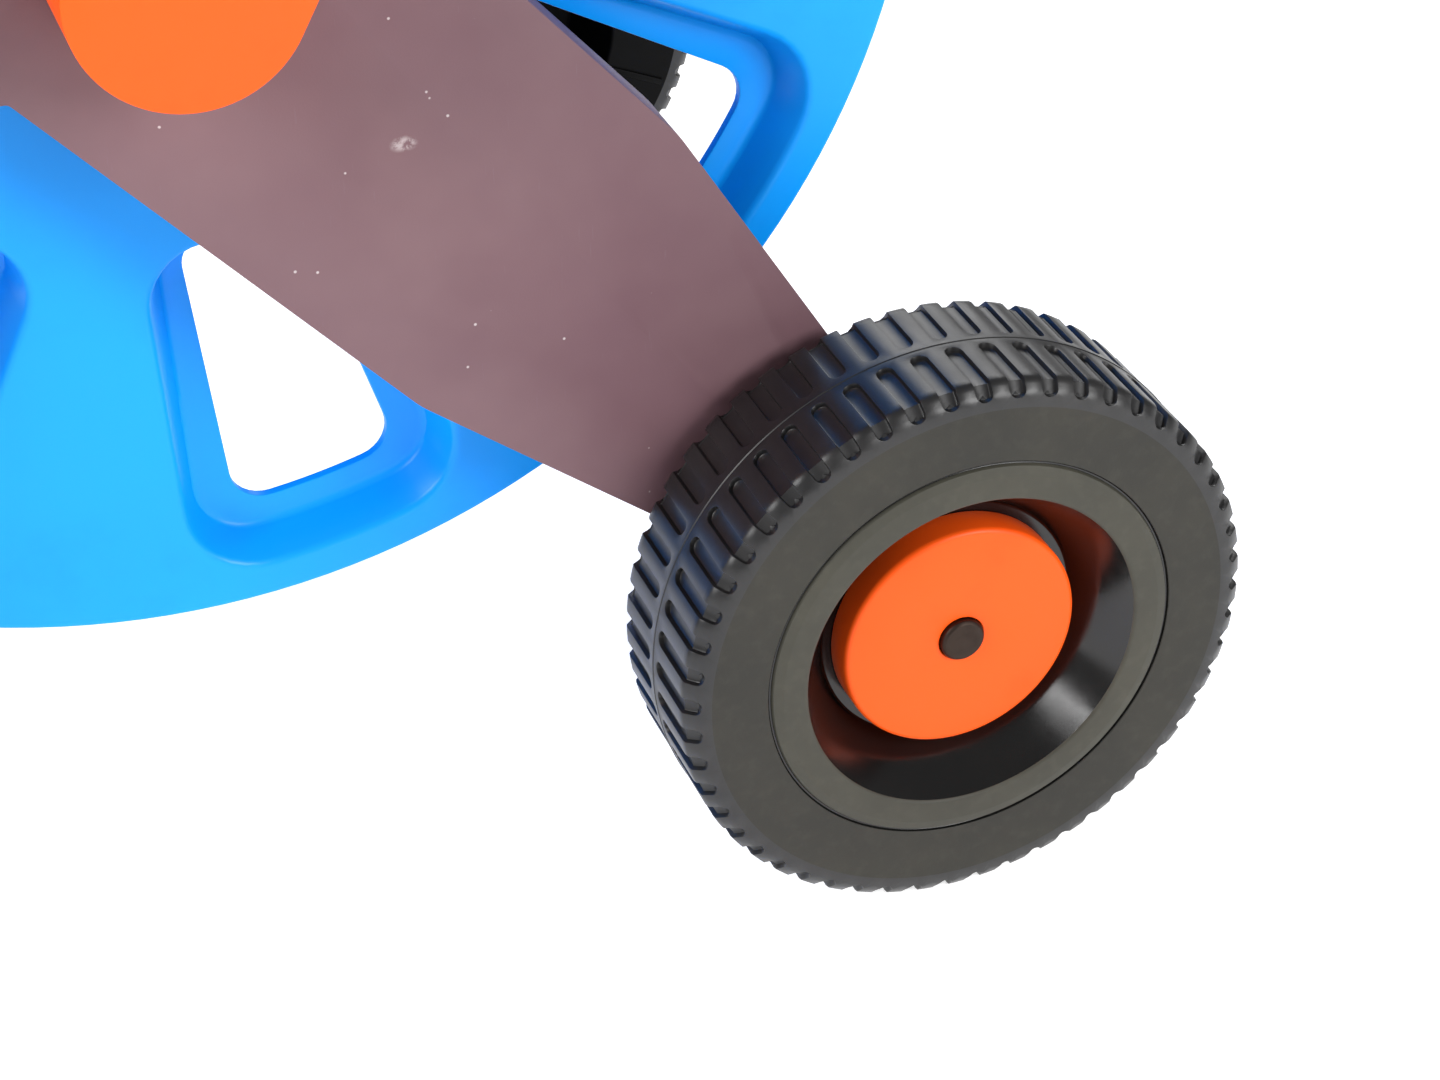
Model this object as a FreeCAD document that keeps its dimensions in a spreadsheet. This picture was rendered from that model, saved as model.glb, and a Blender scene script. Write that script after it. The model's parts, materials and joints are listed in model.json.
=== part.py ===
import FreeCAD, Part
import math
import os
from types import SimpleNamespace

import Sketcher

# Garden hose reel cart. +X points to the rear (the wheels), +Y to the far side (the water
# inlet), -Y to the near side (the crank), +Z up. The origin is on the ground, under the
# middle of the whole cart. The cart's plane of symmetry stands at y = middle.

doc = FreeCAD.newDocument("HoseReelCart")
Vector = FreeCAD.Vector
Rotation = FreeCAD.Rotation
NEAR, FAR = -1, 1

# ---------------------------------------------------------------- driving dimensions
DRIVING = {
    "wheel_radius": 78.5,
    "wheel_width": 47,
    "half_track": 226.75,
    "reel_lead": 179.4,
    "hub_height": 280.3,
    "foot_reach": 386,
    "foot_height": 14,
    "panel_face": 176.75,
    "panel_depth": 20,
    "panel_wall": 3,
    "flange_face": 147.75,
    "flange_radius": 194,
    "flange_wall": 3,
    "window_depth": 11,
    "window_phase": 11.4,
    "drum_radius": 80,
    "drum_wall": 2.5,
    "journal_radius": 14,
    "journal_bore": 7,
    "axle_radius": 5,
    "slip_fit": 0.05,
    "boss_radius": 26.3,
    "boss_face": 210.75,
    "crank_length": 115,
    "crank_angle": 57,
    "grip_radius": 15,
    "grip_end": 280.25,
    "handle_angle": 69,
    "handle_reach": 646.6,
    "handle_spread": 166.75,
    "outer_tube_radius": 12.5,
    "inner_tube_radius": 10.7,
    "tube_wall": 1.5,
}
sheet = doc.addObject("Spreadsheet::Sheet", "Dims")
for row, (alias, value) in enumerate(DRIVING.items(), start=1):
    sheet.set(f"A{row}", alias)
    sheet.set(f"B{row}", str(value))
    sheet.setAlias(f"B{row}", alias)
doc.recompute()


class Size:
    """A length or angle that knows both its value and its spreadsheet expression."""

    def __init__(self, value, text):
        self.value, self.text = float(value), text

    def _join(self, other, sign, value):
        return Size(value, f"({self.text} {sign} {textOf(other)})")

    def __add__(self, other):
        return self._join(other, "+", self.value + valueOf(other))

    def __sub__(self, other):
        return self._join(other, "-", self.value - valueOf(other))

    def __mul__(self, other):
        return self._join(other, "*", self.value * valueOf(other))

    def __truediv__(self, other):
        return self._join(other, "/", self.value / valueOf(other))

    def __radd__(self, other):
        return Size(other, textOf(other)) + self

    def __rsub__(self, other):
        return Size(other, textOf(other)) - self

    def __rmul__(self, other):
        return Size(other, textOf(other)) * self

    def __neg__(self):
        return self * -1


def valueOf(size):
    return size.value if isinstance(size, Size) else float(size)


def textOf(size):
    return size.text if isinstance(size, Size) else repr(float(size))


def cosine(angle):
    return Size(math.cos(math.radians(valueOf(angle))), f"cos({textOf(angle)} * 1 deg)")


def sine(angle):
    return Size(math.sin(math.radians(valueOf(angle))), f"sin({textOf(angle)} * 1 deg)")


dim = SimpleNamespace(**{name: Size(value, f"Dims.{name}") for name, value in DRIVING.items()})

# Places that several pieces share
axleX = (dim.foot_reach - dim.wheel_radius) / 2
axleZ = dim.wheel_radius
hubX = axleX - dim.reel_lead
hubZ = dim.hub_height
BAND_PROUD = 1
middle = (dim.grip_end - dim.half_track - BAND_PROUD) / 2
panelBack = dim.panel_face - dim.panel_depth
journalFit = dim.journal_radius + dim.slip_fit
axleFit = dim.axle_radius + dim.slip_fit
BUSH_RADIUS = 19
SEAT_RADIUS = 30
GAP = 0.3

parts = []


# ---------------------------------------------------------------- helpers
def bind(feature, name, size):
    setattr(feature, name, valueOf(size))
    if isinstance(size, Size):
        feature.setExpression(name, size.text)


def place(piece, x, y, z, rotation=None):
    spot = Vector(valueOf(x), valueOf(y), valueOf(z))
    piece.Placement = FreeCAD.Placement(spot, rotation or Rotation())
    for axis, size in zip("xyz", (x, y, z)):
        if isinstance(size, Size):
            piece.setExpression(f"Placement.Base.{axis}", size.text)


def newBody(name):
    body = doc.addObject("PartDesign::Body", name)
    body.Label = name
    parts.append(body)
    return body


def addSketch(body, role, lift=0):
    plane = next(item for item in body.Origin.OriginFeatures if item.Role == role)
    sketch = body.newObject("Sketcher::SketchObject", f"{body.Name}_outline")
    sketch.AttachmentSupport = (plane, "")
    sketch.MapMode = "FlatFace"
    sketch.AttachmentOffset = FreeCAD.Placement(Vector(0, 0, valueOf(lift)), Rotation())
    if isinstance(lift, Size):
        sketch.setExpression("AttachmentOffset.Base.z", lift.text)
    return sketch


def pin(sketch, edge, end, point):
    """Fixes one end of an edge at a point, bound to the sheet where the point is."""
    for kind, onAxis, size in (("DistanceX", -2, point[0]), ("DistanceY", -1, point[1])):
        if abs(valueOf(size)) < 1e-6:
            sketch.addConstraint(Sketcher.Constraint("PointOnObject", edge, end, onAxis))
            continue
        rule = sketch.addConstraint(Sketcher.Constraint(kind, -1, 1, edge, end, valueOf(size)))
        if isinstance(size, Size):
            sketch.setExpression(f"Constraints[{rule}]", size.text)


def addPolygon(sketch, points):
    """Closed outline through corners (x, y) or, where a corner is rounded, (x, y, radius)."""
    count = len(points)
    corners = [Vector(valueOf(point[0]), valueOf(point[1]), 0) for point in points]
    arcs = [cornerArc(corners[n - 1], corners[n], corners[(n + 1) % count], valueOf(points[n][2]))
            if len(points[n]) > 2 else None for n in range(count)]
    lines = []
    for n in range(count):
        after = (n + 1) % count
        start = arcs[n][1] if arcs[n] else corners[n]
        end = arcs[after][0] if arcs[after] else corners[after]
        lines.append(sketch.addGeometry(Part.LineSegment(start, end)))
    for n, point in enumerate(points):
        before, after = lines[n - 1], lines[n]
        if not arcs[n]:
            sketch.addConstraint(Sketcher.Constraint("Coincident", before, 2, after, 1))
            pin(sketch, after, 1, point)
            continue
        roundCorner(sketch, before, after, corners[n], point, arcs[n])


def cornerArc(before, corner, after, radius):
    """Start, end, arc and turning sense (True for anticlockwise) of one rounded corner."""
    inward = (before - corner).normalize()
    outward = (after - corner).normalize()
    half = inward.getAngle(outward) / 2
    reach = radius / math.tan(half)
    start, end = corner + inward * reach, corner + outward * reach
    centre = corner + (inward + outward).normalize() * (radius / math.sin(half))
    leftTurn = (-inward).cross(outward).z > 0
    angles = [math.atan2(p.y - centre.y, p.x - centre.x) for p in (start, end)]
    if not leftTurn:
        angles.reverse()
    if angles[1] < angles[0]:
        angles[1] += 2 * math.pi
    circle = Part.Circle(centre, Vector(0, 0, 1), radius)
    return start, end, Part.ArcOfCircle(circle, *angles), leftTurn


def inset(points, wall):
    """A clockwise outline moved inwards by a wall's thickness, its corner radii with it."""
    corners = [Vector(valueOf(point[0]), valueOf(point[1]), 0) for point in points]
    moved = []
    for n, corner in enumerate(corners):
        arriving = (corner - corners[n - 1]).normalize()
        leaving = (corners[(n + 1) % len(corners)] - corner).normalize()
        inward = Vector(arriving.y, -arriving.x, 0) + Vector(leaving.y, -leaving.x, 0)
        shift = inward * (wall / (1 + arriving.dot(leaving)))
        turn = 1 if arriving.cross(leaving).z > 0 else -1
        radius = valueOf(points[n][2]) + turn * wall
        moved.append((corner.x + shift.x, corner.y + shift.y, radius))
    return moved


def addPath(sketch, points):
    """Open path through corners (x, y) or rounded corners (x, y, radius)."""
    corners = [Vector(valueOf(point[0]), valueOf(point[1]), 0) for point in points]
    arcs = [None] + [cornerArc(corners[n - 1], corners[n], corners[n + 1], points[n][2])
                     for n in range(1, len(points) - 1)] + [None]
    lines = []
    for n in range(len(points) - 1):
        start = arcs[n][1] if arcs[n] else corners[n]
        end = arcs[n + 1][0] if arcs[n + 1] else corners[n + 1]
        lines.append(sketch.addGeometry(Part.LineSegment(start, end)))
    pin(sketch, lines[0], 1, points[0])
    pin(sketch, lines[-1], 2, points[-1])
    for n in range(1, len(points) - 1):
        roundCorner(sketch, lines[n - 1], lines[n], corners[n], points[n], arcs[n])


def roundCorner(sketch, before, after, spot, point, arcData):
    """Joins two lines by a tangent arc whose corner stays pinned to the sheet."""
    corner = sketch.addGeometry(Part.Point(spot), True)
    pin(sketch, corner, 1, point)
    for line in (before, after):
        sketch.addConstraint(Sketcher.Constraint("PointOnObject", corner, 1, line))
    first, last = (1, 2) if arcData[3] else (2, 1)
    arc = sketch.addGeometry(arcData[2])
    sketch.addConstraint(Sketcher.Constraint("Tangent", before, 2, arc, first))
    sketch.addConstraint(Sketcher.Constraint("Tangent", after, 1, arc, last))
    sketch.addConstraint(Sketcher.Constraint("Radius", arc, valueOf(point[2])))


def addCircle(sketch, x, y, radius):
    spot = Vector(valueOf(x), valueOf(y), 0)
    edge = sketch.addGeometry(Part.Circle(spot, Vector(0, 0, 1), valueOf(radius)))
    pin(sketch, edge, 3, (x, y))
    rule = sketch.addConstraint(Sketcher.Constraint("Radius", edge, valueOf(radius)))
    if isinstance(radius, Size):
        sketch.setExpression(f"Constraints[{rule}]", radius.text)


def addFeature(body, kind, sketch, **settings):
    feature = body.newObject(f"PartDesign::{kind}", f"{body.Name}_{kind.lower()}")
    feature.Profile = sketch
    for name, setting in settings.items():
        if isinstance(setting, Size):
            bind(feature, name, setting)
        else:
            setattr(feature, name, setting)
    body.Tip = feature
    return feature


def revolve(body, profile, kind="Revolution"):
    """Turns a profile of (radius, distance along y) about the body's y axis."""
    sketch = addSketch(body, "XY_Plane")
    addPolygon(sketch, profile)
    feature = addFeature(body, kind, sketch, Angle=360.0)
    feature.ReferenceAxis = (sketch, ["V_Axis"])
    return feature


def turned(name, profile, x, z, y=None, rotation=None):
    body = newBody(name)
    revolve(body, profile)
    place(body, x, middle if y is None else y, z, rotation)
    return body


def mirrored(side, profile):
    return [(radius, distance * side) for radius, distance in profile]


def ring(side, inner, outer, start, end):
    return mirrored(side, [(inner, start), (outer, start), (outer, end), (inner, end)])


def revolveInSide(body, side, start, x, z, angle, profile, kind="Revolution"):
    """Turns a profile of (radius, distance) about a line in the side view through (x, z)."""
    sketch = addSketch(body, "XZ_Plane")
    addPolygon(sketch, profile)
    spot = Vector(valueOf(x), valueOf(z), valueOf(start) * -side)
    tilt = Rotation(Vector(0, 0, 1), valueOf(angle) - 90)
    sketch.AttachmentOffset = FreeCAD.Placement(spot, tilt)
    feature = addFeature(body, kind, sketch, Angle=360.0)
    feature.ReferenceAxis = (sketch, ["V_Axis"])
    return feature


def addPad(body, side, start, length, draw, kind="Pad"):
    """Pads a side-view outline outwards from |y| = start, on either side of the cart."""
    sketch = addSketch(body, "XZ_Plane", liftOf(side, start))
    draw(sketch)
    settings = {"Length": length, "Reversed": (side == FAR) != (kind == "Pocket")}
    return addFeature(body, kind, sketch, **settings)


def liftOf(side, start):
    # the side-view plane looks along +Y, so its own normal is -Y
    return start * -side


def repeatAround(body, features, count, sketch):
    pattern = body.newObject("PartDesign::PolarPattern", f"{body.Name}_pattern")
    pattern.Originals = features
    pattern.Axis = (sketch, ["N_Axis"])
    pattern.Angle = 360.0
    pattern.Occurrences = count
    body.Tip = pattern


def sideName(name, side):
    return f"{name}_{'near' if side == NEAR else 'far'}"


# ---------------------------------------------------------------- places along the handle
alongX, alongZ = cosine(dim.handle_angle), sine(dim.handle_angle)
HANDLE_WAY = Vector(alongX.value, 0, alongZ.value)
REARWARD_WAY = Vector(alongZ.value, 0, -alongX.value)
HANDLE_TURN = Rotation(REARWARD_WAY, HANDLE_WAY, Vector(0, 0, 0), "YXZ")
BOW_TURN = Rotation(Vector(0, 1, 0), HANDLE_WAY, Vector(0, 0, 0), "YXZ")
REARWARD = Rotation(Vector(0, 1, 0), REARWARD_WAY)
SOCKET_START, SOCKET_END = 118, 252
OUTER_TUBE_START, OUTER_TUBE_END = 125, 380
COLLAR_START, COLLAR_END = 368, 408
INNER_TUBE_START = 310
KNOB_AT = 392
SOCKET_RADIUS = 16
SOCKET_SCREW_AT = 139
screwSeat = dim.handle_spread + SOCKET_RADIUS - 1.4
COLLAR_RADIUS = 17


def onHandle(distance):
    return hubX + alongX * distance, hubZ + alongZ * distance


# ---------------------------------------------------------------- side panels
FRONT_BOLT = (-348, -22)     # the front cross tube's bolt, from the axle


def panelOutline():
    """Side view from the axle: rear leg, arched front leg and an arm for the handle."""
    wide = 32
    armX, armZ = onHandle(SOCKET_END - 16)
    frontX, frontZ = onHandle(46)
    acrossX, acrossZ = alongZ * wide, alongX * wide
    return [
        (axleX + 46.6, axleZ - 34.8, 14), (axleX + 13.6, axleZ - 34.8, 12), (axleX - 127.4, axleZ + 73.2, 30),
        (axleX - 214.7, axleZ + 168.4, 2), (axleX - 262.4, axleZ + 167.2, 55),
        (axleX - 320, dim.foot_height, 8), (axleX - dim.foot_reach + 4, dim.foot_height, 8),
        (axleX - 346, axleZ + 161, 80), (frontX - acrossX, frontZ + acrossZ, 40),
        (armX - acrossX * 0.6, armZ + acrossZ * 0.6, 10), (armX + acrossX * 0.6, armZ - acrossZ * 0.6, 10),
        (axleX - 137.6, axleZ + 219.7, 20), (axleX - 60, axleZ + 133.8, 30),
    ]


def sidePanel(side):
    body = newBody(sideName("side_panel", side))
    outline = panelOutline()
    addPad(body, side, panelBack, dim.panel_depth, lambda sketch: addPolygon(sketch, outline))
    hollow = inset(outline, dim.panel_wall.value)
    hollowDepth = dim.panel_depth - dim.panel_wall
    addPad(body, side, panelBack, hollowDepth, lambda sketch: addPolygon(sketch, hollow), "Pocket")

    inside = dim.panel_depth - dim.panel_wall + 0.5

    def posts(sketch):
        addCircle(sketch, hubX, hubZ, SEAT_RADIUS)
        addCircle(sketch, axleX, axleZ, 14)
        addCircle(sketch, axleX + FRONT_BOLT[0], axleZ + FRONT_BOLT[1], 12)

    addPad(body, side, panelBack, inside, posts)

    def ribs(sketch):
        # two stiffening ribs down the rear leg
        for offset in (-18, 18):
            addPolygon(sketch, [
                (hubX + 22 + offset * 0.75, hubZ - 22 + offset * 0.66),
                (hubX + 24 + offset * 0.75, hubZ - 20 + offset * 0.66),
                (axleX - 6 + offset * 0.3, axleZ + 12 + offset * 0.2),
                (axleX - 8 + offset * 0.3, axleZ + 10 + offset * 0.2)])

    addPad(body, side, panelBack + 3, inside - 3, ribs)

    def bores(sketch):
        addCircle(sketch, hubX, hubZ, BUSH_RADIUS + dim.slip_fit)
        addCircle(sketch, axleX, axleZ, axleFit)
        addCircle(sketch, axleX + FRONT_BOLT[0], axleZ + FRONT_BOLT[1], 3 + dim.slip_fit)

    addPad(body, side, panelBack - 1, dim.panel_depth + 2, bores, "Pocket")
    socket = [(0, SOCKET_START), (SOCKET_RADIUS, SOCKET_START), (SOCKET_RADIUS, SOCKET_END), (0, SOCKET_END)]
    tubeSpace = dim.outer_tube_radius + dim.slip_fit
    bore = [(0, SOCKET_START + 4), (tubeSpace, SOCKET_START + 4), (tubeSpace, SOCKET_END + 4),
            (0, SOCKET_END + 4)]
    for profile, kind in ((socket, "Revolution"), (bore, "Groove")):
        revolveInSide(body, side, dim.handle_spread, hubX, hubZ, dim.handle_angle, profile, kind)
    screwX, screwZ = onHandle(SOCKET_SCREW_AT)
    for start, radius in ((screwSeat, 5), (dim.handle_spread + 9, 2.1)):
        addPad(body, side, start, 9, lambda sketch: addCircle(sketch, screwX, screwZ, radius), "Pocket")
    place(body, 0, middle, 0)


# ---------------------------------------------------------------- frame
def hubBush(side):
    """Flanged plastic bush that the reel's journal turns in."""
    inner, outer = journalFit, BUSH_RADIUS
    turned(sideName("hub_bush", side), mirrored(side, [
        (inner, panelBack - 2.5), (outer + 4, panelBack - 2.5), (outer + 4, panelBack - GAP / 3),
        (outer, panelBack - GAP / 3), (outer, dim.panel_face), (inner, dim.panel_face)]), hubX, hubZ)


def axleParts():
    end = dim.half_track - 7
    turned("axle_rod", [(0, -end), (dim.axle_radius, -end), (dim.axle_radius, end), (0, end)], axleX, axleZ)
    turned("axle_tube", [(8.5, GAP - panelBack), (10, GAP - panelBack),
                         (10, panelBack - GAP), (8.5, panelBack - GAP)], axleX, axleZ)
    for side in (NEAR, FAR):
        turned(sideName("axle_spacer", side),
               ring(side, axleFit, 9, dim.panel_face + GAP, dim.half_track - dim.wheel_width - 1 - GAP),
               axleX, axleZ)
        face, back = dim.half_track - 5, dim.half_track - 11
        turned(sideName("axle_cap", side), mirrored(side, [
            (axleFit, back), (6, back), (6, face - 0.8), (5.2, face), (0, face),
            (0, end + 0.2), (axleFit, end + 0.2)]), axleX, axleZ)


def frontCrossTube():
    x, z = axleX + FRONT_BOLT[0], axleZ + FRONT_BOLT[1]
    end = panelBack - GAP
    turned("front_cross_tube", [(9.6, -end), (11, -end), (11, end), (9.6, end)], x, z)
    for side in (NEAR, FAR):
        turned(sideName("cross_tube_plug", side), ring(side, 2.6, 9.5, panelBack - 22, end), x, z)
        head = dim.panel_face + 3.2
        turned(sideName("cross_tube_screw", side), mirrored(side, [
            (0, panelBack - 18), (2.5, panelBack - 18), (2.5, dim.panel_face), (6.5, dim.panel_face),
            (6.5, head - 1.6), (4.5, head), (0, head)]), x, z)


def footPad(side):
    """Rubber shoe under a front leg, with a spigot pushed up into it."""
    width, depth = 62, 26
    x = axleX - 351
    body = newBody(sideName("foot_pad", side))
    start = dim.panel_face - dim.panel_depth / 2 - depth / 2

    def block(sketch):
        addPolygon(sketch, [(x - width / 2 - 4, 0, 4), (x - width / 2 - 4, dim.foot_height - GAP, 3),
                            (x + width / 2, dim.foot_height - GAP, 3), (x + width / 2, 0, 4)])

    addPad(body, side, start, depth, block)
    place(body, 0, middle, 0)


def handleTubes(side):
    y = middle + side * dim.handle_spread
    outer, inner = dim.outer_tube_radius, dim.inner_tube_radius
    turned(sideName("handle_socket_tube", side), [
        (outer - dim.tube_wall, OUTER_TUBE_START), (outer, OUTER_TUBE_START), (outer, OUTER_TUBE_END),
        (outer - dim.tube_wall, OUTER_TUBE_END)], hubX, hubZ, y, HANDLE_TURN)
    collar = newBody(sideName("handle_collar", side))
    shoulder = OUTER_TUBE_END + GAP
    revolve(collar, [
        (outer + dim.slip_fit, COLLAR_START), (COLLAR_RADIUS - 1, COLLAR_START), (COLLAR_RADIUS, COLLAR_START + 1),
        (COLLAR_RADIUS, COLLAR_END - 2), (COLLAR_RADIUS - 2, COLLAR_END), (inner + 0.08, COLLAR_END),
        (inner + 0.08, shoulder), (outer + dim.slip_fit, shoulder)])
    plane = addSketch(collar, "YZ_Plane")
    addCircle(plane, KNOB_AT, 0, 9)
    addFeature(collar, "Pad", plane, Length=24.0)
    through = addSketch(collar, "YZ_Plane")
    addCircle(through, KNOB_AT, 0, 3.05)
    addFeature(collar, "Pocket", through, Length=30.0, Reversed=True)
    hollow = [(0, COLLAR_START + 1), (inner + 0.08, COLLAR_START + 1), (inner + 0.08, COLLAR_END - 1),
              (0, COLLAR_END - 1)]
    revolve(collar, hollow, "Groove")
    place(collar, hubX, y, hubZ, HANDLE_TURN)


def socketScrews():
    """One pan-head screw through each handle socket, its tip against the socket tube."""
    x, z = onHandle(SOCKET_SCREW_AT)
    for side in (NEAR, FAR):
        tip = dim.handle_spread + dim.outer_tube_radius + 0.1
        under, top = screwSeat + 0.05, screwSeat + 2.5
        turned(sideName("socket_screw", side), mirrored(side, [
            (0, tip), (2, tip), (2, under), (4.5, under), (4.5, top - 1.2), (3, top), (0, top)]), x, z)


# ---------------------------------------------------------------- reel
# inner and outer radius, half angle between the sides, inner and outer corner, and the
# distance at which each side line passes the hub
RECESS = (91, 184, 8.6, 16, 19.5, 10.7)
LEDGE = (92.5, 178.7, 9.4, 9, 14.5, 4.5)
WINDOW = (94.5, 171.5, 5.75, 7, 9, 4.8)
SCREW_CIRCLE = 72.5
CONNECTOR_ANGLE = 135
hubEnd = dim.flange_face - 25.5      # inner end of a flange's hub tube
connectorY = hubEnd - 18


def grown(shape, wall):
    inner, outer, half, innerCorner, outerCorner, offset = shape
    return inner - wall, outer + wall, half, innerCorner + wall, outerCorner + wall, offset + wall


def sectorSketch(body, side, start, shape):
    """Sketch of one window outline: two leaning sides and two arcs with rounded corners."""
    inner, outer, half, innerCorner, outerCorner, offset = shape
    sketch = addSketch(body, "XZ_Plane")
    turn = Rotation(Vector(0, 0, 1), dim.window_phase.value)
    sketch.AttachmentOffset = FreeCAD.Placement(Vector(0, 0, valueOf(start) * -side), turn)
    centre = Vector(0, 0, 0)
    up = Vector(0, 0, 1)
    slope = math.radians(half)

    def polar(radius, angle):
        return Vector(radius * math.cos(angle), radius * math.sin(angle), 0)

    def reachOf(middleRadius, corner):
        return math.sqrt(middleRadius ** 2 - (offset - corner) ** 2)

    def swingOf(middleRadius, corner):
        return slope + math.atan2(offset - corner, reachOf(middleRadius, corner))

    def foot(middleRadius, corner, sign):
        spot = polar(reachOf(middleRadius, corner), slope) + polar(offset, slope + math.pi / 2)
        return Vector(spot.x, sign * spot.y, 0)

    def cornerAt(middleRadius, corner, sign):
        swing = swingOf(middleRadius, corner)
        first, last = swing, slope + math.pi / 2
        if middleRadius == inner + innerCorner:
            first, last = slope + math.pi / 2, swing + math.pi
        if sign < 0:
            first, last = -last, -first
        return Part.ArcOfCircle(Part.Circle(polar(middleRadius, sign * swing), up, corner), first, last)

    outerCentre, innerCentre = (outer - outerCorner, outerCorner), (inner + innerCorner, innerCorner)
    outerSwing, innerSwing = swingOf(*outerCentre), swingOf(*innerCentre)
    edges = [
        Part.ArcOfCircle(Part.Circle(centre, up, outer), -outerSwing, outerSwing),
        cornerAt(*outerCentre, 1),
        Part.LineSegment(foot(*outerCentre, 1), foot(*innerCentre, 1)),
        cornerAt(*innerCentre, 1),
        Part.ArcOfCircle(Part.Circle(centre, up, inner), -innerSwing, innerSwing),
        cornerAt(*innerCentre, -1),
        Part.LineSegment(foot(*innerCentre, -1), foot(*outerCentre, -1)),
        cornerAt(*outerCentre, -1),
    ]
    for edge in edges:
        sketch.addGeometry(edge)
    joints = [(0, 2, 1, 1), (1, 2, 2, 1), (2, 2, 3, 1), (3, 2, 4, 2), (4, 1, 5, 1), (5, 2, 6, 1),
              (6, 2, 7, 1), (7, 2, 0, 1)]
    for joint in joints:
        sketch.addConstraint(Sketcher.Constraint("Tangent", *joint))
    for arc, radius in ((0, outer), (1, outerCorner), (3, innerCorner), (4, inner), (5, innerCorner),
                        (7, outerCorner)):
        sketch.addConstraint(Sketcher.Constraint("Radius", arc, radius))
    for arc in (0, 4):
        sketch.addConstraint(Sketcher.Constraint("Coincident", arc, 3, -1, 1))
    for line in (2, 6):
        sketch.addConstraint(Sketcher.Constraint("Distance", -1, 1, line, offset))
    return sketch


def reelFlange(side):
    """Dished plate with a rolled rim and eight windows, each set back in a sloping recess."""
    body = newBody(sideName("reel_flange", side))
    face, back = dim.flange_face, dim.flange_face - dim.flange_wall
    radius = dim.flange_radius
    revolve(body, mirrored(side, [
        (journalFit, hubEnd), (24, hubEnd), (24, back), (radius - 3.5, back), (radius - 3.5, back - 6),
        (radius - 1.5, back - 6), (radius, back - 4.5), (radius, face - 1.5), (radius - 1.5, face),
        (journalFit, face)]))
    floor = face - dim.window_depth
    wall = dim.flange_wall.value
    tray = sectorSketch(body, side, face - 0.5, grown(RECESS, wall))
    trayEnd = sectorSketch(body, side, floor - wall, grown(LEDGE, wall))
    additive = addFeature(body, "AdditiveLoft", tray, Sections=[trayEnd], Ruled=True)
    recess = sectorSketch(body, side, face, RECESS)
    recessEnd = sectorSketch(body, side, floor, LEDGE)
    subtractive = addFeature(body, "SubtractiveLoft", recess, Sections=[recessEnd], Ruled=True)
    window = sectorSketch(body, side, floor + 1, WINDOW)
    opening = addFeature(body, "Pocket", window, Length=wall + 3.0, Reversed=(side == FAR))
    repeatAround(body, [additive, subtractive, opening], 8, window)
    holes = addSketch(body, "XZ_Plane", liftOf(side, back - 1))
    addCircle(holes, SCREW_CIRCLE * math.cos(math.radians(30)), SCREW_CIRCLE * 0.5, 2.1)
    hole = addFeature(body, "Pocket", holes, Length=wall + 2.0, Reversed=(side == NEAR))
    repeatAround(body, [hole], 6, holes)
    place(body, hubX, middle, hubZ)


def drumCore():
    body = newBody("drum_core")
    end = dim.flange_face - dim.flange_wall - GAP
    inner = dim.drum_radius - dim.drum_wall
    revolve(body, [(inner, -end), (dim.drum_radius, -end), (dim.drum_radius, end), (inner, end)])
    posts = addSketch(body, "XZ_Plane")
    addCircle(posts, SCREW_CIRCLE * math.cos(math.radians(30)), SCREW_CIRCLE * 0.5, 5.5)
    post = addFeature(body, "Pad", posts, Length=end * 2, Midplane=True)
    repeatAround(body, [post], 6, posts)
    holes = addSketch(body, "XZ_Plane")
    addCircle(holes, SCREW_CIRCLE * math.cos(math.radians(30)), SCREW_CIRCLE * 0.5, 1.95)
    hole = addFeature(body, "Pocket", holes, Length=end * 2 + 2, Midplane=True)
    repeatAround(body, [hole], 6, holes)
    revolveInSide(body, FAR, connectorY, 0, 0, CONNECTOR_ANGLE,
                  [(0, 70), (9, 70), (9, 86), (0, 86)], "Groove")
    place(body, hubX, middle, hubZ)


def flangeScrews(side):
    """Six pan-head screws that hold a flange to the drum, one group."""
    body = newBody(sideName("flange_screws", side))
    seat, tip = dim.flange_face + 0.05, dim.flange_face - 24
    x, z = SCREW_CIRCLE * math.cos(math.radians(30)), SCREW_CIRCLE * 0.5

    def shank(sketch):
        addCircle(sketch, x, z, 1.9)

    def head(sketch):
        addCircle(sketch, x, z, 4.5)

    first = addPad(body, side, tip, seat - tip + 1, shank)
    second = addPad(body, side, seat, 2.6, head)
    repeatAround(body, [first, second], 6, second.Profile[0])
    place(body, hubX, middle, hubZ)


HEX_ACROSS = 17


def addHexagon(sketch, across):
    radius = across / math.sqrt(3)
    addPolygon(sketch, [(radius * math.cos(math.radians(60 * n)), radius * math.sin(math.radians(60 * n)))
                        for n in range(6)])


def crankShaft():
    body = newBody("crank_shaft")
    end = dim.panel_face + 0.5
    start = hubEnd + 1
    revolve(body, mirrored(NEAR, [(0, start), (dim.journal_radius, start), (dim.journal_radius, end), (0, end)]))
    addPad(body, NEAR, end - 1, 26, lambda sketch: addHexagon(sketch, HEX_ACROSS))
    place(body, hubX, middle, hubZ)


CRANK_END_RADIUS, ARM_DEPTH = 18, 12


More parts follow.
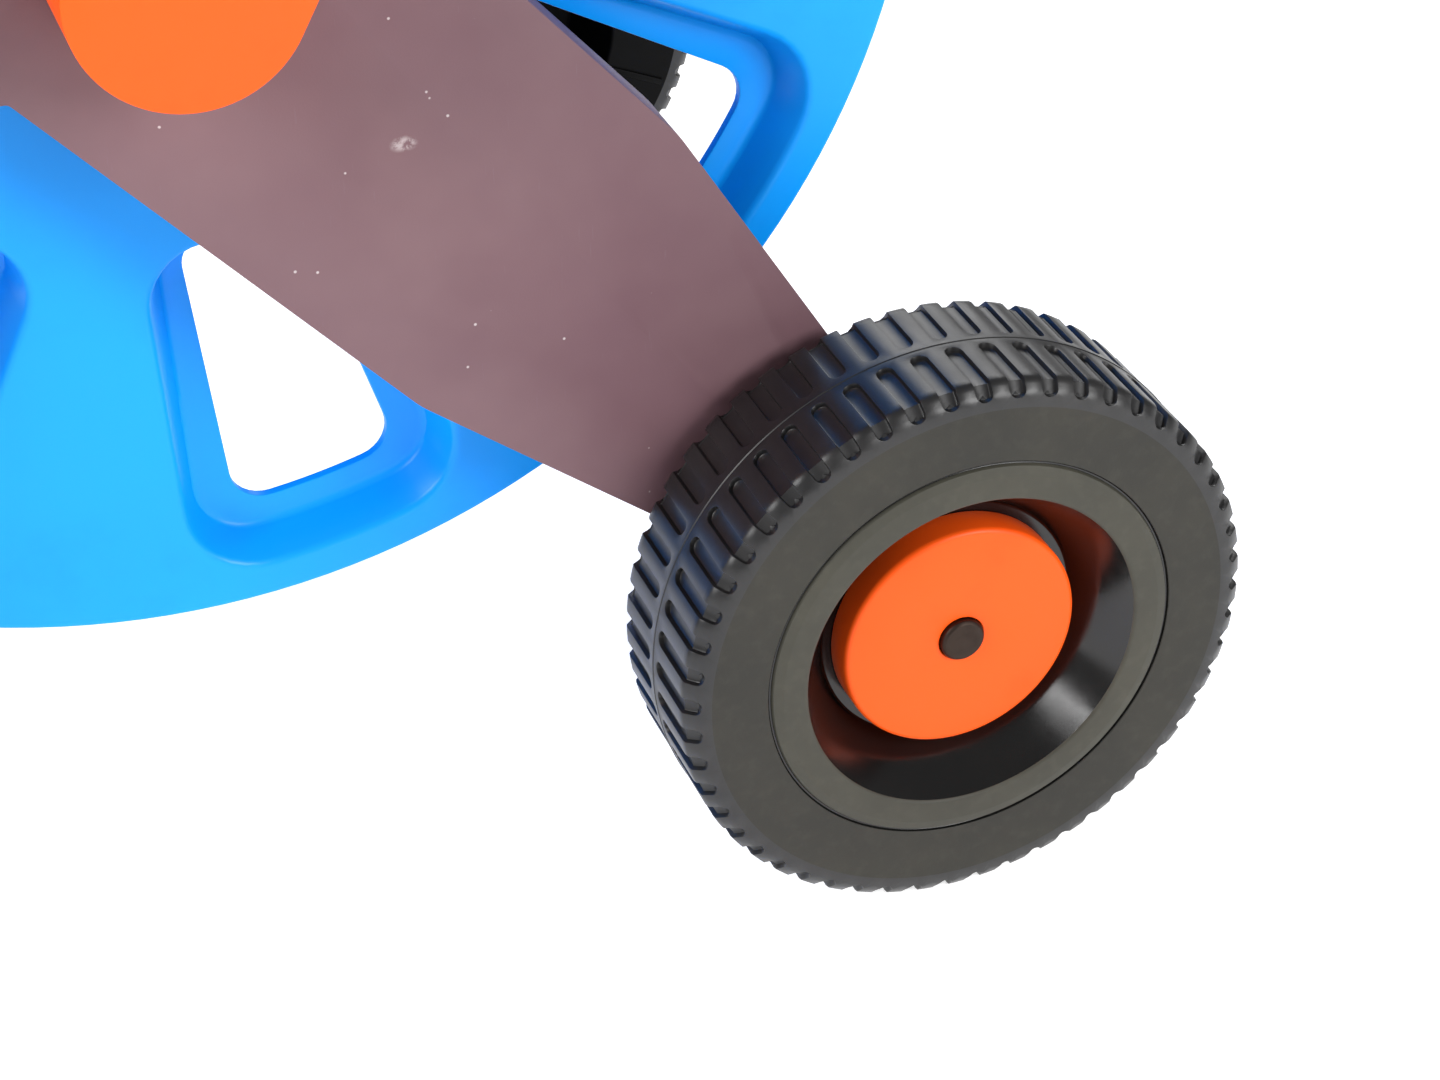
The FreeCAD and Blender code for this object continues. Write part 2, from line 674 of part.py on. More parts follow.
def crankArm():
    """Round boss over the hub and a broad arm that tapers to the grip, one flush face."""
    body = newBody("crank_arm")
    back = dim.panel_face + 0.7
    boss, length = dim.boss_radius.value, dim.crank_length.value
    lean = math.asin((boss - CRANK_END_RADIUS) / length)
    aim = math.radians(dim.crank_angle.value)

    def spot(radius, angle, along=0):
        return (along * math.cos(aim) + radius * math.cos(aim + angle),
                along * math.sin(aim) + radius * math.sin(aim + angle))

    side = math.pi / 2 - lean

    def arm(sketch):
        addPolygon(sketch, [
            spot(boss, -side), spot(CRANK_END_RADIUS, -side, length),
            spot(CRANK_END_RADIUS / math.cos(side / 2), -side / 2, length) + (CRANK_END_RADIUS - 0.2,),
            spot(CRANK_END_RADIUS / math.cos(side / 2), side / 2, length) + (CRANK_END_RADIUS - 0.2,),
            spot(CRANK_END_RADIUS, side, length), spot(boss, side)])

    addPad(body, NEAR, back, dim.boss_face - back, lambda sketch: addCircle(sketch, 0, 0, dim.boss_radius))
    addPad(body, NEAR, dim.boss_face - ARM_DEPTH, ARM_DEPTH, arm)
    addPad(body, NEAR, back - 1, dim.boss_face - 4 - back + 1,
           lambda sketch: addCircle(sketch, 0, 0, dim.boss_radius - 3), "Pocket")
    addPad(body, NEAR, back, dim.boss_face - 3 - back, lambda sketch: addCircle(sketch, 0, 0, 14))
    addPad(body, NEAR, back - 1, 27, lambda sketch: addHexagon(sketch, HEX_ACROSS + 0.1), "Pocket")
    addPad(body, NEAR, dim.boss_face - ARM_DEPTH - 1, ARM_DEPTH + 2,
           lambda sketch: addCircle(sketch, length * math.cos(aim), length * math.sin(aim), 4.02), "Pocket")
    place(body, hubX, middle, hubZ)


def crankGrip():
    x = hubX + cosine(dim.crank_angle) * dim.crank_length
    z = hubZ + sine(dim.crank_angle) * dim.crank_length
    end, radius = dim.grip_end, dim.grip_radius
    start = dim.boss_face + 1.5
    turned("grip_pin", mirrored(NEAR, [
        (0, dim.boss_face - ARM_DEPTH), (4, dim.boss_face - ARM_DEPTH), (4, end - 8), (7, end - 8), (7, end - 5),
        (0, end - 5)]), x, z)
    turned("crank_grip", mirrored(NEAR, [
        (4.06, start), (radius - 3, start), (radius - 1, start + 2), (radius - 3, start + 12),
        (radius - 1.5, start + 30), (radius, end - 16), (radius - 0.5, end - 5), (radius - 2.5, end - 1),
        (radius - 4, end - 1), (radius - 4, end - 3.5), (9, end - 3.5), (9, end - 8.3), (4.06, end - 8.3)]), x, z)
    turned("grip_cap", mirrored(NEAR, [
        (0, end - 3.4), (radius - 4.05, end - 3.4), (radius - 4.05, end - 1), (radius - 6, end), (0, end)]), x, z)


# ---------------------------------------------------------------- water path
clipY = dim.panel_face + 13.5        # where the spring clip crosses the inlet shaft
nippleY = clipY + 2


def inletShaft():
    bore, radius, start, end = dim.journal_bore, dim.journal_radius, hubEnd - 9, clipY + 8
    turned("inlet_shaft", mirrored(FAR, [
        (bore, start), (radius, start), (radius, clipY - 2.5), (10.5, clipY - 2.5), (10.5, clipY + 2.5),
        (radius, clipY + 2.5), (radius, end), (bore, end)]), hubX, hubZ)


def drumElbow():
    body = newBody("drum_elbow")
    revolve(body, ring(FAR, 0, 18, hubEnd - 34, hubEnd - 2))
    angle, y = CONNECTOR_ANGLE, connectorY
    revolveInSide(body, FAR, y, 0, 0, angle, [(0, 8), (8, 8), (8, 76), (0, 76)])
    revolve(body, ring(FAR, 0, dim.journal_radius + 0.02, hubEnd - 31, hubEnd), "Groove")
    revolveInSide(body, FAR, y, 0, 0, angle, [(0, 1), (5, 1), (5, 78), (0, 78)], "Groove")
    place(body, hubX, middle, hubZ)


def hoseConnector():
    body = newBody("hose_connector")
    revolveInSide(body, FAR, connectorY, 0, 0, CONNECTOR_ANGLE, [
        (4, 76.3), (8.9, 76.3), (8.9, 80.3), (13, 80.3), (13, 90), (8, 90), (9.2, 95), (8, 96), (9.2, 101),
        (8, 102), (8.8, 108), (7, 111), (4, 111)])
    place(body, hubX, middle, hubZ)


def inletElbow():
    body = newBody("inlet_elbow")
    inner, outer = dim.panel_face + 2.5, dim.boss_face - 3
    revolve(body, ring(FAR, 0, 18, inner, outer))
    revolveInSide(body, FAR, nippleY, 0, 0, 270, [
        (0, 8), (10, 8), (10, 38), (13.5, 38), (13.5, 47), (8, 47), (8, 64), (7, 66), (0, 66)])
    revolve(body, ring(FAR, 0, journalFit, inner - 1, clipY + 9), "Groove")
    revolveInSide(body, FAR, nippleY, 0, 0, 270, [(0, 1), (5, 1), (5, 67), (0, 67)], "Groove")
    slots = addSketch(body, "YZ_Plane")
    for height in (-12.2, 12.2):
        addCircle(slots, clipY, height, 1.6)
    addFeature(body, "Pocket", slots, Length=60.0, Midplane=True)
    place(body, hubX, middle, hubZ)


def inletClip():
    """Spring-steel staple through the elbow, either side of the groove in the shaft."""
    body = newBody("inlet_clip")
    legs = addSketch(body, "YZ_Plane", -20)
    for height in (-12.2, 12.2):
        addCircle(legs, clipY, height, 1.5)
    addFeature(body, "Pad", legs, Length=42.0)
    bridge = addSketch(body, "XY_Plane")
    addCircle(bridge, 22, clipY, 1.5)
    addFeature(body, "Pad", bridge, Length=26.4, Midplane=True)
    place(body, hubX, middle, hubZ)


# ---------------------------------------------------------------- wheels
DISC_RADIUS, DISC_INSET, DISH_DEPTH = 33.75, 6.9, 16.7


def wheel(side):
    """Black wheel with a conical dish, its hub turning on the axle."""
    radius, edge = dim.wheel_radius, dim.half_track
    back = edge - dim.wheel_width
    hub = dim.axle_radius + 0.08
    turned(sideName("wheel", side), mirrored(side, [
        (hub, edge - 11.2), (11, edge - 11.2), (11, edge - DISH_DEPTH), (36.3, edge - DISH_DEPTH),
        (45.7, edge + BAND_PROUD), (54.9, edge + BAND_PROUD), (55.9, edge), (radius - 3.6, edge),
        (radius - 1, edge - 1.2), (radius, edge - 3.4), (radius, back + 3.4), (radius - 1, back + 1.2),
        (radius - 3.6, back), (55.9, back), (54.9, back - BAND_PROUD), (45.7, back - BAND_PROUD),
        (38, edge - DISH_DEPTH - 4), (11, edge - DISH_DEPTH - 4), (11, back - BAND_PROUD),
        (hub, back - BAND_PROUD)]), axleX, axleZ)
    front, floor = edge - DISC_INSET, edge - DISH_DEPTH + 0.1
    turned(sideName("hub_disc", side), mirrored(side, [
        (6.2, front - 3), (6.2, front), (DISC_RADIUS - 1.5, front), (DISC_RADIUS - 0.4, front - 0.4),
        (DISC_RADIUS, front - 1.5), (DISC_RADIUS, floor), (DISC_RADIUS - 3, floor), (DISC_RADIUS - 3, front - 3)]),
        axleX, axleZ)


# ---------------------------------------------------------------- handle
BEND_RADIUS = 58


def handleBow():
    """U-shaped steel tube: two legs that slide in the socket tubes and a crossbar."""
    body = newBody("handle_bow")
    spread, reach, bend = dim.handle_spread, dim.handle_reach, BEND_RADIUS
    path = addSketch(body, "XY_Plane")
    corners = [(-spread, INNER_TUBE_START), (-spread, reach, bend), (spread, reach, bend),
               (spread, INNER_TUBE_START)]
    addPath(path, corners)
    section = addSketch(body, "XZ_Plane", -INNER_TUBE_START)
    addCircle(section, -spread, 0, dim.inner_tube_radius)
    addCircle(section, -spread, 0, dim.inner_tube_radius - 1.2)
    pipe = addFeature(body, "AdditivePipe", section)
    pipe.Spine = (path, [])
    place(body, hubX, middle, hubZ, BOW_TURN)


def handleGrip():
    x, z = onHandle(dim.handle_reach)
    inner, outer = dim.inner_tube_radius + dim.slip_fit, 16
    half = 105
    turned("handle_grip", [
        (inner, -half), (outer - 2, -half), (outer, 2 - half), (outer, half - 2), (outer - 2, half),
        (inner, half)], x, z)


def clampKnob(side):
    """Lobed knob on a steel stud that clamps the sliding handle leg."""
    x, z = onHandle(KNOB_AT)
    y = middle + side * dim.handle_spread
    stud = 3
    turned(sideName("clamp_stud", side), [
        (0, dim.inner_tube_radius + GAP), (stud, dim.inner_tube_radius + GAP), (stud, 34), (0, 34)],
        x, z, y, REARWARD)
    knob = newBody(sideName("clamp_knob", side))
    revolve(knob, [(stud, 24.5), (8, 24.5), (8, 27), (12, 29), (12, 39), (10, 41), (0, 41), (0, 34.1),
                   (stud, 34.1)])
    lobe = addSketch(knob, "XZ_Plane", -29)
    addCircle(lobe, 11, 0, 4)
    lobes = addFeature(knob, "Pad", lobe, Length=10.0, Reversed=True)
    repeatAround(knob, [lobes], 6, lobe)
    place(knob, x, y, z, REARWARD)


# ---------------------------------------------------------------- assembly
axleParts()
frontCrossTube()
socketScrews()
for side in (NEAR, FAR):
    sidePanel(side)
    hubBush(side)
    footPad(side)
    handleTubes(side)
    clampKnob(side)
    reelFlange(side)
    flangeScrews(side)
    wheel(side)
drumCore()
crankShaft()
crankArm()
crankGrip()
inletShaft()
drumElbow()
hoseConnector()
inletElbow()
inletClip()
handleBow()
handleGrip()
doc.recompute()

# ---------------------------------------------------------------- checks and export
for item in doc.Objects:
    if "Invalid" in item.State or "Error" in item.State:
        raise RuntimeError(f"{item.Name} did not compute: {item.State}")
os.makedirs("parts", exist_ok=True)
for part in parts:
    if part.Shape.isNull() or not part.Shape.isValid():
        raise RuntimeError(f"{part.Label} has no valid shape")
    part.Shape.exportStep(f"parts/{part.Label}.step")
print(len(parts), "pieces written")
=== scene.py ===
import json
import math
import bmesh
import bpy
from mathutils import Matrix, Vector


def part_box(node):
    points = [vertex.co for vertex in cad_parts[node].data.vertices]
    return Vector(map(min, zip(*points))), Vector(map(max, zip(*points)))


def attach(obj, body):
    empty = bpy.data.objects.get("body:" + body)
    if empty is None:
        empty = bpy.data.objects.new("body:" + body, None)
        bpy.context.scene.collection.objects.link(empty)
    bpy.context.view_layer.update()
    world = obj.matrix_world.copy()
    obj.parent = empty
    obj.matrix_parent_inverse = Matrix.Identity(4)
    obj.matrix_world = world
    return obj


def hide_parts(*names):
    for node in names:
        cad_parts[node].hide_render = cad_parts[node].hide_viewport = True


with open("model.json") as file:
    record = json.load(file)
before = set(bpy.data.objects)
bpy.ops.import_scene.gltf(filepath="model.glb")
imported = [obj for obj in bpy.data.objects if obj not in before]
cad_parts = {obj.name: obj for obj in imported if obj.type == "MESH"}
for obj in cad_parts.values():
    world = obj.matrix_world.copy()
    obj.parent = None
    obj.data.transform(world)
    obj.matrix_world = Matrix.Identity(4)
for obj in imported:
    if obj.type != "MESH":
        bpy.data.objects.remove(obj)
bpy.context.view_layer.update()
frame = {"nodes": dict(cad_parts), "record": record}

mm = 0.001


def corners(node):
    low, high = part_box(node)
    return Vector(low), Vector(high)


bodyOf = {node: body for body, nodes in frame["record"]["behaviour"]["bodies"].items() for node in nodes}
print("frame read,", len(bodyOf), "pieces")


# one socket; arithmetic on it adds Math nodes
class Link:
    def __init__(self, tree, socket):
        self.tree, self.socket = tree, socket

    def node(self, kind, inputs, out=0, **settings):
        made = self.tree.nodes.new(kind)
        for key, value in settings.items():
            setattr(made, key, value)
        for key, value in inputs.items():
            if isinstance(value, Link):
                self.tree.links.new(value.socket, made.inputs[key])
            else:
                made.inputs[key].default_value = value
        return Link(self.tree, made.outputs[out])

    def math(self, operation, other=None, flip=False):
        pair = [self] if other is None else [other, self] if flip else [self, other]
        return self.node("ShaderNodeMath", dict(enumerate(pair)), operation=operation)

    def __add__(self, other):
        return self.math("ADD", other)

    def __radd__(self, other):
        return self.math("ADD", other, True)

    def __sub__(self, other):
        return self.math("SUBTRACT", other)

    def __rsub__(self, other):
        return self.math("SUBTRACT", other, True)

    def __mul__(self, other):
        return self.math("MULTIPLY", other)

    def __rmul__(self, other):
        return self.math("MULTIPLY", other, True)

    def noise(self, scale, detail=3.0, roughness=0.55):
        return self.node("ShaderNodeTexNoise", {"Vector": self, "Scale": scale, "Detail": detail,
                                                "Roughness": roughness})

    def step(self, low, high, toLow=0.0, toHigh=1.0):
        return self.node("ShaderNodeMapRange", {"Value": self, "From Min": low, "From Max": high,
                                                "To Min": toLow, "To Max": toHigh},
                         interpolation_type="SMOOTHSTEP")

    def mix(self, first, second):
        return self.node("ShaderNodeMix", {0: self, 6: first, 7: second}, out=2, data_type="RGBA")

    def stretched(self, scale, turn=(0, 0, 0), shift=(0, 0, 0)):
        return self.node("ShaderNodeMapping", {"Vector": self, "Location": shift, "Rotation": turn,
                                               "Scale": scale})


# sRGB 0..255 to a linear colour
def rgb(red, green, blue):
    def linear(level):
        level /= 255
        return level / 12.92 if level <= 0.04045 else ((level + 0.055) / 1.055) ** 2.4
    return linear(red), linear(green), linear(blue), 1.0


def newMaterial(name, **constants):
    material = bpy.data.materials.new(name)
    material.use_nodes = True
    tree = material.node_tree
    shader = tree.nodes["Principled BSDF"]
    for key, value in constants.items():
        shader.inputs[key.replace("_", " ")].default_value = value
    place = tree.nodes.new("ShaderNodeTexCoord")
    coords = Link(tree, place.outputs["Object"])

    def feed(key, link):
        tree.links.new(link.socket, shader.inputs[key])

    def bump(height, strength, distance):
        feed("Normal", coords.node("ShaderNodeBump", {"Height": height, "Strength": strength,
                                                      "Distance": distance}))
    return material, coords, feed, bump


plasticUser = {
    "blue": rgb(6, 156, 255), "blueDeep": rgb(0, 140, 248),
    "orange": rgb(255, 98, 22), "orangeDeep": rgb(252, 84, 12),
    "panel": rgb(101, 72, 80), "panelWarm": rgb(116, 89, 94), "fleck": rgb(205, 196, 196),
    "scuffShift": (-0.0263, 0.1505, -0.3775),
}


# smooth moulded plastic: soft colour drift, faint smudges, fine grain, few scuffs
def mouldedPlastic(name, colour, deep, roughness, grain=0.25, **constants):
    material, coords, feed, bump = newMaterial(name, **constants)
    drift = coords.noise(7.0, 2.0).step(0.35, 0.68)
    smudge = coords.noise(38.0, 4.0, 0.62).step(0.50, 0.76)
    scuff = coords.stretched((900, 60, 900), (0.5, 0.3, 0.8)).noise(1.0, 2.0).step(0.66, 0.74)
    feed("Base Color", (drift * 0.75 + smudge * 0.25).mix(colour, deep))
    feed("Roughness", roughness + smudge * 0.07 + scuff * 0.06 - drift * 0.03)
    fine = coords.noise(2600.0, 2.0)
    waves = coords.noise(45.0, 1.0)
    bump(fine * 0.4 + waves * 1.6 + scuff * 0.25, grain, 0.00012)
    return material


# matte mauve plastic: cloudy tone, white flecks, one scuff, fine sanded grain, faint long scratches
def panelPlastic():
    material, coords, feed, bump = newMaterial("panelPlastic", Specular_IOR_Level=0.35)
    cloud = coords.noise(9.0, 4.0, 0.6).step(0.32, 0.70)
    patch = coords.noise(30.0, 3.0).step(0.35, 0.72)
    speck = coords.node("ShaderNodeTexVoronoi", {"Vector": coords, "Scale": 210.0}).step(0.05, 0.10, 1.0, 0.0)
    rare = coords.noise(75.0, 1.0).step(0.585, 0.61)
    bits = speck * rare
    scratch = coords.stretched((1500, 40, 90), (0.0, 0.7, 0.2)).noise(1.0, 2.0).step(0.71, 0.745)
    base = (cloud * 0.7 + patch * 0.3).mix(plasticUser["panel"], plasticUser["panelWarm"])
    grey = (scratch * 0.16).mix(base, rgb(120, 100, 110))
    apart = coords.stretched((1.0, 1.0, 1.7), shift=plasticUser["scuffShift"])
    reach = apart.node("ShaderNodeVectorMath", {0: apart}, out=1, operation="LENGTH")
    ragged = coords.noise(420.0, 4.0, 0.7).step(0.42, 0.60)
    scuff = reach.step(0.0014, 0.0040, 1.0, 0.0) * ragged
    marked = (scuff * 0.5).mix(grey, plasticUser["fleck"])
    feed("Base Color", (bits * 0.7).mix(marked, plasticUser["fleck"]))
    feed("Roughness", 0.52 + patch * 0.06 - scratch * 0.08)
    bump(coords.noise(1900.0, 3.0) * 0.7 + coords.noise(36.0, 1.0) * 1.3 + bits * 1.5, 0.30, 0.00012)
    return material


# blow-moulded black plastic with pale handling dust and wipe marks
def wheelPlastic(name, colour, dusty, roughness, grain, dust=0.5, shine=0.5):
    material, coords, feed, bump = newMaterial(name, Specular_IOR_Level=shine)
    film = coords.noise(26.0, 5.0, 0.62).step(0.34, 0.72)
    wipe = coords.stretched((240, 40, 240), (0.0, 0.6, 0.0)).noise(1.0, 3.0).step(0.45, 0.75)
    feed("Base Color", (film * dust + wipe * dust * 0.35).mix(colour, dusty))
    feed("Roughness", roughness + film * 0.09 - wipe * 0.04)
    bump(coords.noise(1500.0, 3.0) * 0.5 + coords.noise(70.0, 2.0), grain, 0.00015)
    return material


def metal(name, colour, roughness, brushed=(60, 900, 60)):
    material, coords, feed, bump = newMaterial(name, Metallic=1.0)
    lines = coords.stretched(brushed).noise(1.0, 3.0)
    stain = coords.noise(120.0, 4.0).step(0.45, 0.75)
    darker = tuple(level * 0.72 for level in colour[:3]) + (1,)
    feed("Base Color", stain.mix(colour, darker))
    feed("Roughness", roughness + lines * 0.12 + stain * 0.08)
    bump(lines, 0.12, 0.00008)
    return material


def powderCoat(name, colour):
    material, coords, feed, bump = newMaterial(name, Specular_IOR_Level=0.45)
    tone = coords.noise(14.0, 3.0).step(0.35, 0.7)
    darker = tuple(level * 0.86 for level in colour[:3]) + (1,)
    feed("Base Color", tone.mix(colour, darker))
    feed("Roughness", 0.42 + tone * 0.06)
    bump(coords.noise(1300.0, 2.0), 0.35, 0.00015)
    return material


bluePlastic = mouldedPlastic("bluePlastic", plasticUser["blue"], plasticUser["blueDeep"], 0.34,
                             Specular_IOR_Level=0.24)
orangePlastic = mouldedPlastic("orangePlastic", plasticUser["orange"], plasticUser["orangeDeep"], 0.42,
                               Specular_IOR_Level=0.22)
blackPlastic = mouldedPlastic("blackPlastic", rgb(33, 33, 34), rgb(26, 26, 28), 0.42)
mauvePanel = panelPlastic()
treadBlack = wheelPlastic("treadBlack", rgb(22, 22, 23), rgb(44, 42, 41), 0.36, 0.22, 0.35)
sidewallGrey = wheelPlastic("sidewallGrey", rgb(38, 37, 32), rgb(56, 54, 47), 0.56, 0.30, 0.6, 0.32)
bandGrey = wheelPlastic("bandGrey", rgb(54, 53, 45), rgb(72, 70, 60), 0.52, 0.25, 0.6, 0.32)
dishBlack = wheelPlastic("dishBlack", rgb(14, 14, 14), rgb(22, 21, 20), 0.15, 0.10, 0.25, 0.5)
# painted shade: the wheels' inboard faces and ribs get a near-black, low-sheen finish that stands in for the
# shadow they sit in
innerPaintedShadeBlack = wheelPlastic("innerPaintedShadeBlack", rgb(4, 4, 4), rgb(9, 9, 9), 0.45, 0.20, 0.3, 0.08)
tubePaint = powderCoat("tubePaint", rgb(128, 104, 112))
zincSteel = metal("zincSteel", rgb(186, 184, 178), 0.30)
capSteel = metal("capSteel", rgb(60, 51, 46), 0.42, (300, 300, 300))
rubber = mouldedPlastic("rubber", rgb(30, 30, 30), rgb(38, 37, 36), 0.68, 0.5)
print("materials made")


def addObject(name, mesh, materials):
    thing = bpy.data.objects.new(name, mesh)
    bpy.context.scene.collection.objects.link(thing)
    for material in materials:
        mesh.materials.append(material)
    return thing


# applies the modifiers, leaving one plain, smooth-shaded mesh
def plain(thing, sharp=32):
    bpy.context.view_layer.update()
    graph = bpy.context.evaluated_depsgraph_get()
    mesh = bpy.data.meshes.new_from_object(thing.evaluated_get(graph))
    thing.modifiers.clear()
    thing.data = mesh
    for face in mesh.polygons:
        face.use_smooth = True
    mesh.set_sharp_from_angle(angle=math.radians(sharp))
    return thing


# a copy of a CAD node with its hard edges rounded, as moulded
def softened(node, edge, material, sharp=32, segments=2):
    mesh = frame["nodes"][node].data.copy()
    mesh.materials.clear()
    shape = bmesh.new()
    shape.from_mesh(mesh)
    bmesh.ops.remove_doubles(shape, verts=shape.verts, dist=0.004 * mm)
    bmesh.ops.dissolve_limit(shape, angle_limit=math.radians(0.5), verts=shape.verts, edges=shape.edges)
    shape.to_mesh(mesh)
    shape.free()
    thing = addObject(f"{node}_soft", mesh, [material])
    bevel = thing.modifiers.new("edges", "BEVEL")
    bevel.width, bevel.segments = edge, segments
    bevel.limit_method, bevel.angle_limit = "ANGLE", math.radians(sharp)
    bevel.use_clamp_overlap = True
    plain(thing, sharp)
    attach(thing, bodyOf[node])
    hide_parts(node)
    return thing


# points (a, b) or (a, b, radius); rounded corners become short arcs
def roundedProfile(points, steps=5):
    path = []
    for n, point in enumerate(points):
        here = Vector(point[:2])
        if len(point) < 3 or n in (0, len(points) - 1):
            path.append(here)
            continue
        back = (Vector(points[n - 1][:2]) - here).normalized()
        ahead = (Vector(points[n + 1][:2]) - here).normalized()
        half = back.angle(ahead) / 2
        centre = here + (back + ahead).normalized() * (point[2] / math.sin(half))
        start = here + back * (point[2] / math.tan(half)) - centre
        finish = here + ahead * (point[2] / math.tan(half)) - centre
        sweep = start.angle_signed(finish)
        for step in range(steps + 1):
            angle = -sweep * step / steps
            path.append(centre + Vector((start.x * math.cos(angle) - start.y * math.sin(angle),
                                         start.x * math.sin(angle) + start.y * math.cos(angle))))
    return path


# turns (radius, y) points about the y axis through centre; slots gives each strip's material
def lathe(profile, centre, count, slots=None, phase=0.0):
    shape = bmesh.new()
    rings = []
    for radius, y in profile:
        if radius < 1e-7:
            rings.append([shape.verts.new((centre.x, y, centre.z))])
            continue
        rings.append([shape.verts.new((centre.x + radius * math.cos(phase + 2 * math.pi * n / count), y,
                                       centre.z + radius * math.sin(phase + 2 * math.pi * n / count)))
                      for n in range(count)])
    for strip, (first, second) in enumerate(zip(rings, rings[1:])):
        for n in range(count):
            after = (n + 1) % count
            loop = [first[n % len(first)], first[after % len(first)], second[after % len(second)],
                    second[n % len(second)]]
            loop = list(dict.fromkeys(loop))
            if len(loop) > 2:
                face = shape.faces.new(loop)
                face.material_index = slots[strip] if slots else 0
    return shape


def finishShape(shape, name, materials, sharp=32):
    bmesh.ops.remove_doubles(shape, verts=shape.verts, dist=0.004 * mm)
    bmesh.ops.recalc_face_normals(shape, faces=shape.faces)
    mesh = bpy.data.meshes.new(name)
    shape.to_mesh(mesh)
    shape.free()
    thing = addObject(name, mesh, materials)
    return plain(thing, sharp)


# a Geometry Nodes tree that repeats a tile round an axis
def repeatTree(name):
    tree = bpy.data.node_groups.new(name, "GeometryNodeTree")
    face = tree.interface
    face.new_socket("Tile", in_out="INPUT", socket_type="NodeSocketGeometry")
    face.new_socket("Count", in_out="INPUT", socket_type="NodeSocketInt")
    face.new_socket("Centre", in_out="INPUT", socket_type="NodeSocketVector")
    face.new_socket("Step", in_out="INPUT", socket_type="NodeSocketVector")
    face.new_socket("Finish", in_out="INPUT", socket_type="NodeSocketMaterial")
    face.new_socket("Result", in_out="OUTPUT", socket_type="NodeSocketGeometry")
    nodes, link = tree.nodes, tree.links.new
    given, result = nodes.new("NodeGroupInput"), nodes.new("NodeGroupOutput")
    line = nodes.new("GeometryNodeMeshLine")
    line.mode = "OFFSET"
    number = nodes.new("GeometryNodeInputIndex")
    place = nodes.new("GeometryNodeInstanceOnPoints")
    scale = nodes.new("ShaderNodeVectorMath")
    scale.operation = "SCALE"
    link(given.outputs["Count"], line.inputs["Count"])
    link(given.outputs["Centre"], line.inputs["Start Location"])
    link(given.outputs["Step"], scale.inputs[0])
    link(number.outputs["Index"], scale.inputs["Scale"])
    line.inputs["Offset"].default_value = (0, 0, 0)
    link(scale.outputs[0], place.inputs["Rotation"])
    link(line.outputs["Mesh"], place.inputs["Points"])
    link(given.outputs["Tile"], place.inputs["Instance"])
    real = nodes.new("GeometryNodeRealizeInstances")
    join = nodes.new("GeometryNodeMergeByDistance")
    join.inputs["Distance"].default_value = 0.004 * mm
    paint = nodes.new("GeometryNodeSetMaterial")
    link(place.outputs["Instances"], real.inputs["Geometry"])
    link(real.outputs["Geometry"], join.inputs["Geometry"])
    link(join.outputs["Geometry"], paint.inputs["Geometry"])
    link(given.outputs["Finish"], paint.inputs["Material"])
    link(paint.outputs["Geometry"], result.inputs["Result"])
    return tree


aroundAxis = repeatTree("aroundAxis")


# repeats a bmesh tile with a Geometry Nodes tree and returns the joined bmesh
def repeated(shape, name, tree, count, centre, step, material):
    mesh = bpy.data.meshes.new(name)
    shape.to_mesh(mesh)
    shape.free()
    tile = addObject(name, mesh, [material])
    tool = tile.modifiers.new("repeat", "NODES")
    tool.node_group = tree
    sockets = {item.name: item.identifier for item in tree.interface.items_tree if item.in_out == "INPUT"}
    for key, value in (("Count", count), ("Centre", centre), ("Step", step), ("Finish", material)):
        tool[sockets[key]] = value
    bpy.context.view_layer.update()
    graph = bpy.context.evaluated_depsgraph_get()
    made = bpy.data.meshes.new_from_object(tile.evaluated_get(graph))
    result = bmesh.new()
    result.from_mesh(made)
    bpy.data.objects.remove(tile)
    return result


# joins bmeshes; a shape's faces take the material index given beside it, or keep their own at None
def merged(shapes):
    whole = bmesh.new()
    for shape, slot in shapes:
        if slot is not None:
            for face in shape.faces:
                face.material_index = slot
        mesh = bpy.data.meshes.new("part")
        shape.to_mesh(mesh)
        shape.free()
        whole.from_mesh(mesh)
        bpy.data.meshes.remove(mesh)
    return whole


# wheels; lengths in metres, but the face outlines are (radius, depth below the sidewall, corner radius) in mm
wheelUser = {
    "slots": 53, "slotWidth": 4.5 * mm, "slotDepth": 1.5 * mm, "slotStart": 2.4 * mm, "slotEnd": 2.7 * mm,
    "seamHeight": 0.25 * mm, "edgeRound": 0.2 * mm, "shoulder": (3.5 * mm, 3.0 * mm),
    "sidewallEdge": 7 * mm, "proud": 1 * mm, "bore": 5.1 * mm, "boreDepth": 11.2 * mm,
    "ribs": 16, "ribWidth": 2.2 * mm, "ribHeight": 0.95 * mm, "ribReach": (48 * mm, 70 * mm),
    "outerFace": ((56.4, 0, 0.35), (56.0, 0.8, 0.2), (55.5, 0.8, 0.2), (55.1, -0.25, 0.4), (52.6, -0.9, 2.0),
                  (46.2, -1.0, 1.3), (35.2, 16.7, 1.0), (11, 16.7, 0.6), (11, 11.2, 0.5), (5.1, 11.2)),
    "innerFace": ((46.2, 0, 1.3), (39, 26, 2.0), (12, 26, 0.6), (11, -1, 0.5), (5.1, -1)),
    "grooveRadius": 56.3 * mm, "dishDepth": 0.4 * mm,  # where band and dish take over from the sidewall
    "discTrim": 1.35 * mm, "discBore": 6.25 * mm, "discPlate": 3 * mm, "discSkirt": 9.8 * mm,
    "discWall": 2.6 * mm, "discCrown": 20 * mm, "discDrop": 0.25 * mm,
}


